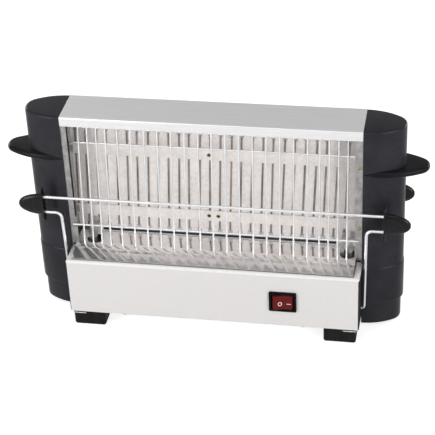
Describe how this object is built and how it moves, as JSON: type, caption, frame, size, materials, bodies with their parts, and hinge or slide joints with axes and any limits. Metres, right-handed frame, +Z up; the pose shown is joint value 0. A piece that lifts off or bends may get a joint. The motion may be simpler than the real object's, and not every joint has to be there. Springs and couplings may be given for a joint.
{
  "type": "vertical toaster",
  "caption": "Upright open toaster: a notched mica heating card between leaning wire grids over a sheet metal base, with swinging wire bread holders, black end caps and a rocker switch.",
  "frame": {"origin": "on the surface that the feet stand on, under the middle of the base", "axes": "+Z up, +X to the right along the length, -Y towards the front with the switch"},
  "size_m": [0.413, 0.1128, 0.2243],
  "materials": {
    "base_enamel": "satin white-grey lacquer",
    "zinc_steel": "plain zinc plated sheet",
    "polished_plate": "polished, mirror-like",
    "satin_steel": "satin, brushed along its length",
    "black_cap": "fine matt black moulding",
    "mica": "pale grey-brown mica sheet",
    "heating_alloy": "dull oxidised heating alloy",
    "brass": "plain brass",
    "chrome_wire": "bright chrome plated wire",
    "gloss_grip": "glossy black phenolic moulding",
    "switch_black": "semi-gloss black",
    "switch_red": "semi-gloss dark red",
    "lead_sleeve": "woven glass sleeve",
    "foot_black": "matt black"
  },
  "bodies": {
    "housing": {"base_shell": "base_enamel", "bottom_plate": "zinc_steel", "reflector_plate": "polished_plate", "top_cover": "satin_steel", "right_end_frame": "zinc_steel", "left_end_frame": "zinc_steel", "right_end_cap": "black_cap", "left_end_cap": "black_cap", "mica_card": "mica", "heating_wire": "heating_alloy", "front_upper_strip": "mica", "front_lower_strip": "mica", "rear_upper_strip": "mica", "rear_lower_strip": "mica", "strip_eyelets": "brass", "terminal_tabs": "zinc_steel", "tab_rivets": "brass", "card_clips": "zinc_steel", "front_grid": "chrome_wire", "rear_grid": "chrome_wire", "switch_housing": "switch_black", "switch_blades": "brass", "terminal_block": "gloss_grip", "inner_leads": "lead_sleeve", "cord_bushing": "foot_black", "front_right_foot": "foot_black", "front_left_foot": "foot_black", "rear_right_foot": "foot_black", "rear_left_foot": "foot_black", "frame_screws": "brass", "cap_screws": "zinc_steel", "foot_screws": "zinc_steel", "floor_screws": "zinc_steel"},
    "front_bail_body": {"front_bail": "chrome_wire", "front_grips": "gloss_grip"},
    "rear_bail_body": {"rear_bail": "chrome_wire", "rear_grips": "gloss_grip"},
    "rocker": {"switch_rocker": "switch_red"}
  },
  "joints": [
    {"name": "front_bail_swing", "type": "hinge", "parent": "housing", "child": "front_bail_body", "pos_m": [0, -0.029, 0.029], "axis": [1, 0, 0], "range_deg": [-4.1, 88]},
    {"name": "rear_bail_swing", "type": "hinge", "parent": "housing", "child": "rear_bail_body", "pos_m": [0, 0.029, 0.029], "axis": [-1, 0, 0], "range_deg": [0, 92.1]},
    {"name": "rocker_tilt", "type": "hinge", "parent": "housing", "child": "rocker", "pos_m": [0.071, -0.0504, 0.0467], "axis": [0, 0, -1], "range_deg": [0, 16]}
  ]
}
